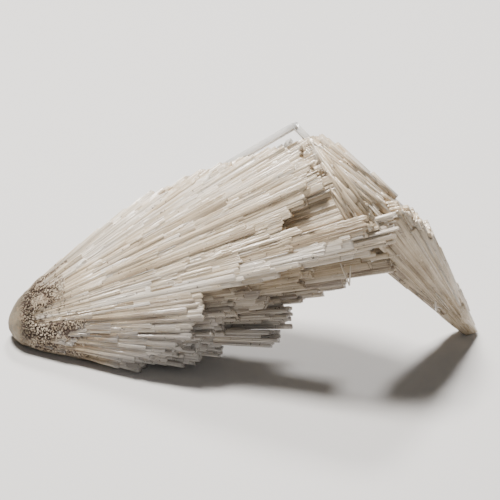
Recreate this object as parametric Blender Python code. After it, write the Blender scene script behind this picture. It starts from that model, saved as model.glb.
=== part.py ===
"""Scolecite crystal cluster: sheaves of square needles grown together into an arch that rests on three feet.

Blender works in metres, and the driving dimensions below are in millimetres. X runs along the arch, from the
root of the big spray to the tip of the blade. The front is -Y, up is +Z, and it rests on z = 0.
"""

import math
import random

import bmesh
import bpy
from mathutils import Matrix, Vector

MM = 0.001
SEED = 14
# Where the middle of the cluster's foot print is, seen from above.
MIDDLE = Vector((0.06, -7.335, 0.0))

# A needle's place in its sheaf is (rise, face), each from -1 to 1, and step, the distance along the run.
# An outline is a list of (rise, step at which the needles there end).
SPRAY_OUTLINE = (
    (-1.0, 29.0), (-0.9, 38.0), (-0.8, 44.0), (-0.71, 50.0), (-0.6, 54.0), (-0.5, 60.0), (-0.41, 63.0),
    (-0.34, 70.0), (-0.29, 78.0), (-0.22, 88.0), (-0.05, 89.0), (0.1, 84.0), (0.3, 78.0), (0.545, 68.0),
    (0.565, 57.0), (0.73, 51.0), (0.8, 44.0), (0.9, 38.0), (1.0, 27.0),
)
SPRAY_FRONT_OUTLINE = (
    (-1.0, 24.0), (-0.85, 32.0), (-0.6, 41.0), (-0.35, 42.0), (-0.22, 38.0), (-0.16, 66.0),
    (-0.1, 84.0), (-0.04, 82.0), (0.0, 70.0), (0.08, 62.0), (0.15, 62.0), (0.19, 67.0), (0.23, 74.0),
    (0.3, 72.0), (0.4, 70.0), (0.5, 68.0), (0.57, 66.0), (0.63, 60.0), (0.72, 50.0), (0.8, 42.0), (1.0, 24.0),
)
# Single needles at the spray's edges, which stand out from its outline: rise, face, the step where each ends.
SPRAY_EDGE = (
    (-1.05, 0.3, 29.3), (-0.97, 0.2, 30.5), (-0.89, 0.1, 39.5), (-0.85, 0.0, 42.0), (-0.75, -0.1, 48.2),
    (-0.655, 0.0, 60.3), (-0.62, 0.1, 61.6), (-0.53, -0.1, 64.2), (-0.465, 0.1, 64.0), (-0.37, -0.1, 67.0),
    (-0.345, -0.1, 71.0), (-0.32, -0.2, 77.0), (-0.27, -0.1, 87.5), (-0.2, 0.0, 89.0), (0.555, 0.0, 68.2),
    (1.03, 0.0, 26.3), (1.07, 0.0, 20.5), (1.09, 0.0, 15.5), (1.1, 0.0, 11.5),
)
SPRAY_EDGE_ROWS = 30
BLADE_OUTLINE = ((-1.0, 24.0), (-0.5, 30.0), (0.0, 35.0), (0.5, 35.0), (0.8, 31.0), (1.0, 22.0))
RIDGE_OUTLINE = ((-1.0, 26.0), (-0.4, 30.0), (0.5, 30.0), (0.79, 28.0), (0.9, 23.0), (1.0, 16.0))

ROUNDNESS = 2.5  # 2 makes a section an ellipse, and more squares it off
TWIST_DEG = 10.0
ROW_JITTER = 0.25
LONGER = 0.02
OVERLAP = 1.35  # a needle's size over the spacing of its neighbours
NEEDLE_WIDEST = 2.7
NEEDLE_THICKEST = 4.2
FIRST_STEP = 1.0
CORE_SHARE = 0.62
CORE_AROUND = 12

# The rounded root of the spray, where it sat on the rock, and the pits that the rock left in it.
ROOT_MIDDLE = Vector((-51.3, -0.3, 4.0))
ROOT_RADII = Vector((3.8, 4.3, 4.3))
ROOT_LUMPS = 0.07
PIT_COUNT = 16
PIT_RADII = (0.35, 0.75)
CAVITY_PLACE = (-0.5, 0.86, 13.0)
CAVITY_RADII = Vector((2.6, 1.3, 0.75))

# The blade's needles have grown into one glassy mass at its tip: its height and depth at both ends of it.
TIP_STEPS = (0.6, 9.0)
TIP_SIZES = ((3.3, 4.0), (6.2, 5.6))

# The clear needle at the crest stands apart from the spray, and a short one closes the gap like a window.
WINDOW_FOOT = Vector((-9.5, 4.5, 39.8))
WINDOW_CORNER = Vector((12.0, 0.8, 56.2))
WINDOW_END = Vector((16.5, -0.7, 51.8))
WINDOW_BAR = 1.5
# Small clear crystals in the window: middle, radius, half length.
WINDOW_CRYSTALS = ((Vector((8.6, 2.2, 49.3)), 0.85, 1.5), (Vector((10.5, 2.4, 50.5)), 1.05, 1.7))


def read_outline(outline, rise):
    """The step at which the needles at this rise end."""
    for (low, near), (high, far) in zip(outline, outline[1:]):
        if rise <= high:
            share = (rise - low) / (high - low)
            return near + (far - near) * max(share, 0.0)
    return outline[-1][1]


def section_width(rise):
    """Half the depth of a section at this rise, as a share of its full half depth."""
    return (1.0 - min(abs(rise), 1.0) ** ROUNDNESS) ** (1.0 / ROUNDNESS)


class Sheaf:
    """Needles that fan out from a small root. Its sections widen along its run.

    A layer is its place in the depth of the section, its number of needles, and how much shorter they vary.
    """

    def __init__(self, root, run, rise, face, root_size, spread, outline, front_outline, back_loss, layers):
        self.root = Vector(root)
        self.run = Vector(run)
        self.rise = Vector(rise)
        self.face = Vector(face)
        self.root_size = root_size
        self.spread = spread
        self.outline = outline
        self.front_outline = front_outline
        self.back_loss = back_loss
        self.layers = layers

    def half_sizes(self, step):
        """Half the height and half the depth of the section at this step."""
        return tuple(size + step * spread for size, spread in zip(self.root_size, self.spread))

    def at(self, rise, face, step):
        high, deep = self.half_sizes(step)
        return self.root + self.run * step + self.rise * (rise * high) + self.face * (face * deep)

    def end_of(self, rise, face):
        """The step at which a needle ends: the front and back layers end sooner than the middle ones."""
        middle = read_outline(self.outline, rise)
        if face < 0.0:
            return middle * (1.0 - self.back_loss * face * face)
        return middle + (read_outline(self.front_outline, rise) - middle) * face


SPRAY = Sheaf(
    root=(-53.0, -1.3, 5.2), run=(1.0, -0.11, 0.405), rise=(0.0, 0.52, 0.855), face=(0.0, -0.855, 0.52),
    root_size=(4.3, 4.2), spread=(0.50, 0.14), outline=SPRAY_OUTLINE, front_outline=SPRAY_FRONT_OUTLINE,
    back_loss=0.3,
    layers=(
        (-0.9, 16, 0.3), (-0.6, 18, 0.2), (-0.3, 20, 0.1), (0.0, 30, 0.1), (0.3, 32, 0.1), (0.6, 36, 0.09),
        (0.9, 34, 0.15),
    ),
)
BLADE = Sheaf(
    root=(53.7, 2.7, -0.2), run=(-0.62, -0.49, 1.2), rise=(0.783, 0.0, 0.719), face=(0.0, -0.95, 0.3),
    root_size=(1.5, 1.9), spread=(0.195, 0.14), outline=BLADE_OUTLINE, front_outline=BLADE_OUTLINE,
    back_loss=0.2, layers=((-0.8, 8, 0.15), (-0.4, 8, 0.1), (0.0, 11, 0.1), (0.4, 11, 0.1), (0.8, 10, 0.2)),
)
RIDGE = Sheaf(
    root=(37.9, -12.2, 37.7), run=(-0.805, 0.282, 0.52), rise=(0.62, 0.0, 0.907), face=(0.0, -0.9, 0.4),
    root_size=(1.7, 5.5), spread=(0.085, 0.0), outline=RIDGE_OUTLINE, front_outline=RIDGE_OUTLINE,
    back_loss=0.1, layers=((-0.8, 6, 0.2), (-0.4, 6, 0.15), (0.0, 8, 0.1), (0.4, 9, 0.15), (0.8, 9, 0.2)),
)


def add_needle(mesh, start, end, rise, start_size, end_size, twist=0.0, slant=0.0):
    """A tapered square needle between two points, with a slanted flat end."""
    axis = (end - start).normalized()
    side = axis.cross(rise).normalized()
    turn = Matrix.Rotation(twist, 3, axis)
    up = turn @ side.cross(axis)
    side = turn @ side
    corners = []
    for middle, (high, deep), tilt in ((start, start_size, 0.0), (end, end_size, slant)):
        for a, b in ((-1, -1), (1, -1), (1, 1), (-1, 1)):
            point = middle + up * (a * high / 2) + side * (b * deep / 2)
            corners.append(mesh.verts.new(point + axis * (tilt * a * high / 2)))
    mesh.faces.new(corners[3::-1])
    mesh.faces.new(corners[4:])
    for i in range(4):
        j = (i + 1) % 4
        mesh.faces.new((corners[i], corners[j], corners[j + 4], corners[i + 4]))


def needle_size(sheaf, rise, step, rows):
    """Height and depth of a needle at this step, wide enough to grow into its neighbours."""
    high, deep = sheaf.half_sizes(step)
    wide = min(2.0 * high / rows * OVERLAP, NEEDLE_WIDEST)
    thick = 2.0 * deep * section_width(rise * 0.9) / len(sheaf.layers) * OVERLAP
    return wide, min(max(thick, wide * 0.6), NEEDLE_THICKEST)


def add_sheaf(mesh, sheaf, chance):
    """All needles of a sheaf, row by row in each layer."""
    for face, rows, shortest in sheaf.layers:
        for row in range(rows):
            rise = -1.0 + 2.0 * (row + 0.5 + chance.uniform(-ROW_JITTER, ROW_JITTER)) / rows
            depth = face * section_width(rise) + chance.uniform(-0.04, 0.04)
            end_step = sheaf.end_of(rise, depth) * (1.0 + LONGER - chance.random() * shortest)
            add_needle(
                mesh, sheaf.at(rise, depth, FIRST_STEP), sheaf.at(rise, depth, end_step), sheaf.rise,
                needle_size(sheaf, rise, FIRST_STEP, rows), needle_size(sheaf, rise, end_step, rows),
                math.radians(chance.uniform(-TWIST_DEG, TWIST_DEG)), chance.uniform(-0.5, 0.5),
            )


def add_edge_needles(mesh, sheaf):
    """The single needles that stand out from the spray's outline."""
    for rise, face, end_step in SPRAY_EDGE:
        sizes = [needle_size(sheaf, rise, step, SPRAY_EDGE_ROWS) for step in (FIRST_STEP, end_step)]
        add_needle(mesh, sheaf.at(rise, face, FIRST_STEP), sheaf.at(rise, face, end_step), sheaf.rise, *sizes)


def add_core(mesh, sheaf):
    """The middle of a sheaf, where its needles have grown into one mass."""
    rings = []
    for share in (0.0, 0.35, 0.7, 1.0):
        ring = []
        for i in range(CORE_AROUND):
            angle = 2.0 * math.pi * i / CORE_AROUND
            rise = CORE_SHARE * math.sin(angle)
            face = CORE_SHARE * math.cos(angle)
            step = sheaf.end_of(rise, face) * 0.78 * share + FIRST_STEP
            ring.append(mesh.verts.new(sheaf.at(rise, face, step)))
        rings.append(ring)
    mesh.faces.new(rings[0])
    for low, high in zip(rings, rings[1:]):
        for i in range(CORE_AROUND):
            j = (i + 1) % CORE_AROUND
            mesh.faces.new((low[i], high[i], high[j], low[j]))
    middle = mesh.verts.new(sheaf.at(0.0, 0.0, sheaf.end_of(0.0, 0.0) * 0.82))
    for i in range(CORE_AROUND):
        mesh.faces.new((rings[-1][i], middle, rings[-1][(i + 1) % CORE_AROUND]))


def add_lump(mesh, middle, radii, subdivisions, chance, roughness=0.0):
    """A faceted round lump, or the shape of a pit."""
    made = bmesh.ops.create_icosphere(mesh, subdivisions=subdivisions, radius=1.0)
    for vertex in made["verts"]:
        lumped = vertex.co * (1.0 + chance.uniform(-roughness, roughness))
        vertex.co = middle + Vector(a * b for a, b in zip(lumped, radii))


def add_pointed_crystal(mesh, middle, radius, half_length):
    """A small clear crystal with four sides and a point at each end."""
    ring = []
    for i in range(4):
        angle = math.pi * (i / 2.0 + 0.25)
        ring.append(mesh.verts.new(middle + Vector((math.cos(angle), math.sin(angle), 0.0)) * radius))
    low = mesh.verts.new(middle - Vector((0.0, 0.0, half_length)))
    high = mesh.verts.new(middle + Vector((0.0, 0.0, half_length)))
    for i in range(4):
        j = (i + 1) % 4
        mesh.faces.new((ring[i], ring[j], high))
        mesh.faces.new((ring[j], ring[i], low))


def add_window(mesh):
    bar = (WINDOW_BAR, WINDOW_BAR)
    rise = SPRAY.rise
    past = (WINDOW_CORNER - WINDOW_FOOT).normalized() * (WINDOW_BAR / 2)
    add_needle(mesh, WINDOW_FOOT, WINDOW_CORNER + past, rise, bar, bar)
    add_needle(mesh, WINDOW_CORNER, WINDOW_END, rise, bar, bar)
    for middle, radius, half_length in WINDOW_CRYSTALS:
        add_pointed_crystal(mesh, middle, radius, half_length)


def add_pits(mesh, chance):
    """The cavity and the pits, over the front of the root."""
    add_lump(mesh, SPRAY.at(*CAVITY_PLACE), CAVITY_RADII, 2, chance, 0.15)
    for _ in range(PIT_COUNT):
        rise = chance.uniform(-0.75, 0.55)
        radius = chance.uniform(*PIT_RADII)
        place = SPRAY.at(rise, section_width(rise), chance.uniform(2.5, 12.0))
        add_lump(mesh, place, Vector((radius * 1.5, radius, radius)), 1, chance, 0.15)


def mesh_object(name, mesh):
    """An object from a mesh in millimetres."""
    bmesh.ops.recalc_face_normals(mesh, faces=mesh.faces)
    bmesh.ops.translate(mesh, vec=-MIDDLE, verts=mesh.verts)
    bmesh.ops.scale(mesh, vec=(MM, MM, MM), verts=mesh.verts)
    data = bpy.data.meshes.new(name)
    mesh.to_mesh(data)
    mesh.free()
    thing = bpy.data.objects.new(name, data)
    bpy.context.collection.objects.link(thing)
    return thing


def boolean(thing, operation, other):
    """Joins or cuts thing with other, which overlaps itself."""
    modifier = thing.modifiers.new(other.name, "BOOLEAN")
    modifier.operation = operation
    modifier.object = other
    modifier.use_self = True
    other.hide_render = True
    other.display_type = "WIRE"


def shells(mesh):
    """The sets of faces that hang together."""
    left = set(mesh.faces)
    found = []
    while left:
        todo = [left.pop()]
        shell = []
        while todo:
            face = todo.pop()
            shell.append(face)
            near = {other for edge in face.edges for other in edge.link_faces} & left
            left -= near
            todo.extend(near)
        found.append(shell)
    return found


def apply_and_clean(thing):
    """Keeps the outer skin alone, so that the closed gaps between needles are filled."""
    scene_state = bpy.context.evaluated_depsgraph_get()
    joined = bpy.data.meshes.new_from_object(thing.evaluated_get(scene_state))
    mesh = bmesh.new()
    mesh.from_mesh(joined)
    found = sorted(shells(mesh), key=len)
    bmesh.ops.delete(mesh, geom=[face for shell in found[:-1] for face in shell], context="FACES")
    thing.modifiers.clear()
    mesh.to_mesh(thing.data)
    mesh.free()


def scolecite():
    material = bpy.data.materials.new("scolecite")
    material.use_nodes = True
    shader = material.node_tree.nodes["Principled BSDF"]
    shader.inputs["Base Color"].default_value = (0.74, 0.68, 0.60, 1.0)
    shader.inputs["Roughness"].default_value = 0.32
    shader.inputs["IOR"].default_value = 1.51
    shader.inputs["Transmission Weight"].default_value = 0.25
    return material


def main():
    for thing in list(bpy.data.objects):
        bpy.data.objects.remove(thing, do_unlink=True)
    chance = random.Random(SEED)

    core = bmesh.new()
    add_core(core, SPRAY)
    cluster = mesh_object("crystal_cluster", core)

    grown = bmesh.new()
    for sheaf in (SPRAY, BLADE, RIDGE):
        add_sheaf(grown, sheaf, chance)
    add_edge_needles(grown, SPRAY)
    add_lump(grown, ROOT_MIDDLE, ROOT_RADII, 3, chance, ROOT_LUMPS)
    tip_start, tip_end = (BLADE.at(0.0, 0.0, step) for step in TIP_STEPS)
    add_needle(grown, tip_start, tip_end, BLADE.rise, *TIP_SIZES)
    add_window(grown)
    boolean(cluster, "UNION", mesh_object("needles", grown))

    pits = bmesh.new()
    add_pits(pits, chance)
    boolean(cluster, "DIFFERENCE", mesh_object("pits", pits))

    ground = bmesh.new()
    bmesh.ops.create_cube(ground, size=200.0, matrix=Matrix.Translation((0.0, 0.0, -100.0)))
    boolean(cluster, "DIFFERENCE", mesh_object("ground", ground))

    apply_and_clean(cluster)
    cluster.data.materials.append(scolecite())


main()
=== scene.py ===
"""Looks of the scolecite crystal cluster.

Thousands of fine needles are laid out along the solid's own needles, by the same rule and with the same seed.
"""

import math
import random

import bpy
import numpy as np
from mathutils import Matrix, Vector, noise


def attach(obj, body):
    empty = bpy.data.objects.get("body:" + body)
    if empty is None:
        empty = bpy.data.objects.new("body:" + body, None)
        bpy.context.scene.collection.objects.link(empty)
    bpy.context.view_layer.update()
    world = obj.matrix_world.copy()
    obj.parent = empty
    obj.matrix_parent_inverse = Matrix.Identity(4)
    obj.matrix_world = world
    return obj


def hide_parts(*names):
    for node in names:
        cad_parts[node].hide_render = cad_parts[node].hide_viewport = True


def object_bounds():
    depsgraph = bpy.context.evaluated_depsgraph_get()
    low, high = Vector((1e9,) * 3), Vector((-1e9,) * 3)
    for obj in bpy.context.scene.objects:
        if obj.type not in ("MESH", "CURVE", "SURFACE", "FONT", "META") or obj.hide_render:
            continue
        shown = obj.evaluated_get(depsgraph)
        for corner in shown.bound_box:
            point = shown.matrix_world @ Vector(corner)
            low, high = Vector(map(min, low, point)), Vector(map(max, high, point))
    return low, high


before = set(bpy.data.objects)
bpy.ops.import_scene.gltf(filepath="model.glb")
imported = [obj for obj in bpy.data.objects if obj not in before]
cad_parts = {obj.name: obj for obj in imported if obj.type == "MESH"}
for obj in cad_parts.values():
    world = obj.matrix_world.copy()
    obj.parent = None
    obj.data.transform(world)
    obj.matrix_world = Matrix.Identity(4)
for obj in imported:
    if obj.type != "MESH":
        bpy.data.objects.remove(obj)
cad_box = [list(corner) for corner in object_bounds()]

MM = 0.001
SEED = 14
NODE = "crystal_cluster"
# Where the middle of the cluster's foot print is, in the millimetres that the sheaves are laid out in.
MIDDLE = Vector((0.06, -7.335, 0.0))

# The sheaves, as the solid has them. A needle's place is (rise, face), each from -1 to 1, and step, which is
# the distance along the sheaf's run. An outline is a list of (rise, step at which the needles there end).

SPRAY_OUTLINE = (
    (-1.0, 29.0), (-0.9, 38.0), (-0.8, 44.0), (-0.71, 50.0), (-0.6, 54.0), (-0.5, 60.0), (-0.41, 63.0),
    (-0.34, 70.0), (-0.29, 78.0), (-0.22, 88.0), (-0.05, 89.0), (0.1, 84.0), (0.3, 78.0), (0.545, 68.0),
    (0.565, 57.0), (0.73, 51.0), (0.8, 44.0), (0.9, 38.0), (1.0, 27.0),
)
SPRAY_FRONT_OUTLINE = (
    (-1.0, 24.0), (-0.85, 32.0), (-0.6, 41.0), (-0.35, 42.0), (-0.22, 38.0), (-0.16, 66.0),
    (-0.1, 84.0), (-0.04, 82.0), (0.0, 70.0), (0.08, 62.0), (0.15, 62.0), (0.19, 67.0), (0.23, 74.0),
    (0.3, 72.0), (0.4, 70.0), (0.5, 68.0), (0.57, 66.0), (0.63, 60.0), (0.72, 50.0), (0.8, 42.0), (1.0, 24.0),
)
# Single needles at the spray's edges, which stand out from its outline: rise, face, the step where each ends.
SPRAY_EDGE = (
    (-1.05, 0.3, 29.3), (-0.97, 0.2, 30.5), (-0.89, 0.1, 39.5), (-0.85, 0.0, 42.0), (-0.75, -0.1, 48.2),
    (-0.655, 0.0, 60.3), (-0.62, 0.1, 61.6), (-0.53, -0.1, 64.2), (-0.465, 0.1, 64.0), (-0.37, -0.1, 67.0),
    (-0.345, -0.1, 71.0), (-0.32, -0.2, 77.0), (-0.27, -0.1, 87.5), (-0.2, 0.0, 89.0), (0.555, 0.0, 68.2),
    (1.03, 0.0, 26.3), (1.07, 0.0, 20.5), (1.09, 0.0, 15.5), (1.1, 0.0, 11.5),
)
SPRAY_EDGE_ROWS = 30
BLADE_OUTLINE = ((-1.0, 24.0), (-0.5, 30.0), (0.0, 35.0), (0.5, 35.0), (0.8, 31.0), (1.0, 22.0))
RIDGE_OUTLINE = ((-1.0, 26.0), (-0.4, 30.0), (0.5, 30.0), (0.79, 28.0), (0.9, 23.0), (1.0, 16.0))

ROUNDNESS = 2.5
TWIST_DEG = 10.0
ROW_JITTER = 0.25
LONGER = 0.02
OVERLAP = 1.35
NEEDLE_WIDEST = 2.7
NEEDLE_THICKEST = 4.2
FIRST_STEP = 1.0
UNEVEN = 0.04
SLANT = 0.5
FLATTEST = 0.6  # depth of the flattest needle, as a share of its height
OUTER_LAYER = 0.75  # the face past which a layer is an outer one
FLUSH = 0.4  # how uneven the outer layers are, and how far needles twist, as a share of the solid's


def read_outline(outline, rise):
    """The step at which the needles at this rise end."""
    for (low, near), (high, far) in zip(outline, outline[1:]):
        if rise <= high:
            share = (rise - low) / (high - low)
            return near + (far - near) * max(share, 0.0)
    return outline[-1][1]


def section_width(rise):
    """Half the depth of a section at this rise, as a share of its full half depth."""
    return (1.0 - min(abs(rise), 1.0) ** ROUNDNESS) ** (1.0 / ROUNDNESS)


class Sheaf:
    """Needles that fan out from a small root. Its sections widen along its run."""

    def __init__(self, root, run, rise, face, root_size, spread, outline, front_outline, back_loss, layers):
        self.root = Vector(root)
        self.run = Vector(run)
        self.rise = Vector(rise)
        self.face = Vector(face)
        self.root_size = root_size
        self.spread = spread
        self.outline = outline
        self.front_outline = front_outline
        self.back_loss = back_loss
        self.layers = layers

    def half_sizes(self, step):
        """Half the height and half the depth of the section at this step."""
        return tuple(size + step * spread for size, spread in zip(self.root_size, self.spread))

    def at(self, rise, face, step):
        high, deep = self.half_sizes(step)
        return self.root + self.run * step + self.rise * (rise * high) + self.face * (face * deep)

    def end_of(self, rise, face):
        """The step at which a needle ends: the front and back layers end sooner than the middle ones."""
        middle = read_outline(self.outline, rise)
        if face < 0.0:
            return middle * (1.0 - self.back_loss * face * face)
        return middle + (read_outline(self.front_outline, rise) - middle) * face


SPRAY = Sheaf(
    root=(-53.0, -1.3, 5.2), run=(1.0, -0.11, 0.405), rise=(0.0, 0.52, 0.855), face=(0.0, -0.855, 0.52),
    root_size=(4.3, 4.2), spread=(0.50, 0.14), outline=SPRAY_OUTLINE, front_outline=SPRAY_FRONT_OUTLINE,
    back_loss=0.3,
    layers=(
        (-0.9, 16, 0.3), (-0.6, 18, 0.2), (-0.3, 20, 0.1), (0.0, 30, 0.1), (0.3, 32, 0.1), (0.6, 36, 0.09),
        (0.9, 34, 0.15),
    ),
)
BLADE = Sheaf(
    root=(53.7, 2.7, -0.2), run=(-0.62, -0.49, 1.2), rise=(0.783, 0.0, 0.719), face=(0.0, -0.95, 0.3),
    root_size=(1.5, 1.9), spread=(0.195, 0.14), outline=BLADE_OUTLINE, front_outline=BLADE_OUTLINE,
    back_loss=0.2, layers=((-0.8, 8, 0.15), (-0.4, 8, 0.1), (0.0, 11, 0.1), (0.4, 11, 0.1), (0.8, 10, 0.2)),
)
RIDGE = Sheaf(
    root=(37.9, -12.2, 37.7), run=(-0.805, 0.282, 0.52), rise=(0.62, 0.0, 0.907), face=(0.0, -0.9, 0.4),
    root_size=(1.7, 5.5), spread=(0.085, 0.0), outline=RIDGE_OUTLINE, front_outline=RIDGE_OUTLINE,
    back_loss=0.1, layers=((-0.8, 6, 0.2), (-0.4, 6, 0.15), (0.0, 8, 0.1), (0.4, 9, 0.15), (0.8, 9, 0.2)),
)


def needle_size(sheaf, rise, step, rows):
    """Height and depth of one of the solid's needles at this step."""
    high, deep = sheaf.half_sizes(step)
    wide = min(2.0 * high / rows * OVERLAP, NEEDLE_WIDEST)
    thick = 2.0 * deep * section_width(rise * 0.9) / len(sheaf.layers) * OVERLAP
    return wide, min(max(thick, wide * FLATTEST), NEEDLE_THICKEST)


def solid_needles(sheaf, chance):
    """The solid's own needles: rise, face, last step, rows in the layer, twist and slant of the end."""
    found = []
    for face, rows, shortest in sheaf.layers:
        for row in range(rows):
            rise = -1.0 + 2.0 * (row + 0.5 + chance.uniform(-ROW_JITTER, ROW_JITTER)) / rows
            uneven = chance.uniform(-UNEVEN, UNEVEN)
            depth = face * section_width(rise) + uneven
            end_step = sheaf.end_of(rise, depth) * (1.0 + LONGER - chance.random() * shortest)
            twist = math.radians(chance.uniform(-TWIST_DEG, TWIST_DEG))
            if abs(face) > OUTER_LAYER:
                depth -= uneven * (1.0 - FLUSH)
            found.append((rise, depth, end_step, rows, twist, chance.uniform(-SLANT, SLANT)))
    return found


def edge_needles():
    return [(rise, face, end_step, SPRAY_EDGE_ROWS, 0.0, 0.0) for rise, face, end_step in SPRAY_EDGE]


# Fine needles. They are collected as plain numbers, and one mesh is made of all that one piece holds.

CHAMFER = 0.12  # of half a needle's size, off each long edge
END_SIZE = 0.72  # of a needle's size, past the bevel round its end
BEVEL = 0.35  # length of that bevel, as a share of half the needle's size
LONGEST_BEVEL = 0.1  # of the needle's length
# Rings of points along a needle: share of its length, share of the bevel taken off that, and size.
STATIONS = ((0.0, 0.0, 1.0), (0.5, 0.0, 1.0), (1.0, 1.0, 1.0), (1.0, 0.0, END_SIZE))
CLEARING = 0.25  # share of a needle's length over which it turns clear
ALL_MILKY = 2.0
GRAIN_SPREAD = 50.0  # mm, so that no two needles have the same streaks


def side_quads(rings, around):
    """The faces between rings of points, as the numbers of their corners."""
    quads = []
    for low in range(0, (rings - 1) * around, around):
        for i in range(around):
            j = (i + 1) % around
            quads.append((low + i, low + j, low + around + j, low + around + i))
    return quads


class Needles:
    """A growing list of needles, which becomes one mesh object."""

    def __init__(self):
        self.rows = []

    def add(self, start, end, up, side, start_size, end_size, tone, clear_from=ALL_MILKY, slant=(0.0, 0.0)):
        """Adds one needle. tone runs from 0, stained, to 1, white.

        clear_from is the share of its length where it turns clear.
        """
        self.rows.append((*start, *end, *up, *side, *start_size, *end_size, tone, clear_from, *slant))

    def object(self, name, material):
        data = np.array(self.rows, dtype=float)
        start, end, up, side = (data[:, i:i + 3] for i in (0, 3, 6, 9))
        start_size, end_size = data[:, 12:14] / 2, data[:, 14:16] / 2
        tone, clear_from, slant = data[:, 16], data[:, 17], data[:, 18:20]
        length = np.linalg.norm(end - start, axis=1)
        axis = (end - start) / length[:, None]
        keep = 1.0 - CHAMFER
        ring = np.array([(1, keep), (keep, 1), (-keep, 1), (-1, keep), (-1, -keep), (-keep, -1), (keep, -1),
                         (1, -keep)], dtype=float)
        draws = np.random.default_rng(SEED).random((len(data), 3)) * GRAIN_SPREAD
        stations = []
        grain = []
        bevel = np.minimum(end_size.min(axis=1) * BEVEL, length * LONGEST_BEVEL)
        for share, inset, size_scale in STATIONS:
            size = (start_size * (1 - share) + end_size * share) * size_scale
            across = ring[None] * size[:, None]
            lean = (across * slant[:, None]).sum(axis=2) * (1.0 if share == 1.0 else 0.0)
            along = (length * share - inset * bevel)[:, None] + lean
            points = (
                start[:, None] + axis[:, None] * along[..., None] + up[:, None] * across[..., :1]
                + side[:, None] * across[..., 1:]
            )
            stations.append(points)
            places = [across + draws[:, None, :2], along[..., None] + draws[:, None, 2:]]
            grain.append(np.concatenate(places, axis=2))
        points = np.stack(stations, axis=1)
        count = len(data)
        rings, around = points.shape[1:3]
        base = np.arange(count)[:, None] * rings * around
        quads = base[:, :, None] + np.array(side_quads(rings, around))[None]
        ends = np.concatenate([np.arange(around)[::-1], (rings - 1) * around + np.arange(around)])
        caps = base + ends[None]
        loops = np.concatenate([quads.reshape(-1), caps.reshape(-1)])
        sizes = np.concatenate([np.full(quads.size // 4, 4), np.full(caps.size // around, around)])
        coordinates = (points.reshape(-1, 3) - np.array(MIDDLE)) * MM
        coordinates = np.clip(coordinates, *np.array(cad_box))
        mesh = bpy.data.meshes.new(name)
        mesh.vertices.add(len(coordinates))
        mesh.vertices.foreach_set("co", coordinates.reshape(-1))
        mesh.loops.add(len(loops))
        mesh.loops.foreach_set("vertex_index", loops.astype(np.int32))
        mesh.polygons.add(len(sizes))
        mesh.polygons.foreach_set("loop_start", np.concatenate([[0], np.cumsum(sizes)[:-1]]).astype(np.int32))
        mesh.polygons.foreach_set("loop_total", sizes.astype(np.int32))
        mesh.update(calc_edges=True)
        shares = np.repeat(np.array([share for share, _, _ in STATIONS])[None, :, None], around, axis=2)
        clarity = np.clip((shares - clear_from[:, None, None]) / CLEARING, 0.0, 1.0)
        add_attribute(mesh, "grain", "FLOAT_VECTOR", np.stack(grain, axis=1))
        add_attribute(mesh, "tone", "FLOAT", np.broadcast_to(tone[:, None, None], (count, rings, around)))
        add_attribute(mesh, "clarity", "FLOAT", np.broadcast_to(clarity, (count, rings, around)))
        return place(name, mesh, material)


def add_attribute(mesh, name, kind, values):
    attribute = mesh.attributes.new(name, kind, "POINT")
    key = "vector" if kind == "FLOAT_VECTOR" else "value"
    attribute.data.foreach_set(key, np.ascontiguousarray(values, dtype=np.float32).reshape(-1))


def place(name, mesh, material):
    """Puts a piece of the cluster into the scene, in place of the plain solid."""
    mesh.materials.append(material)
    piece = bpy.data.objects.new(name, mesh)
    bpy.context.collection.objects.link(piece)
    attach(piece, "root")
    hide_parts(NODE)
    return piece


PITCH = (0.55, 1.5)  # spacing of the fine needles
SHORTER = (0.0, 0.01, 0.02, 0.04, 0.08, 0.16)  # how much shorter than its neighbours a fine needle can end
ROOT_STEPS = (0.5, 3.5)  # how much further out the spray's fine needles start
PLACE_JITTER = 0.12
GROW = (1.1, 1.4)  # size of a fine needle, as a share of its spacing
TONE_JITTER = 0.2
END_SLANT = 0.3
SMOOTH_ENDS = 0.4  # how ragged the blade's and the ridge's ends are, as a share of the spray's


def small_turn(chance, most):
    return math.radians(chance.uniform(-most, most))


def bundle_frame(sheaf, start, end, twist):
    """A needle's axis, and the directions of its height and its depth."""
    axis = (end - start).normalized()
    side = axis.cross(sheaf.rise).normalized()
    turn = Matrix.Rotation(twist, 3, axis)
    return axis, turn @ side.cross(axis), turn @ side


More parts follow.
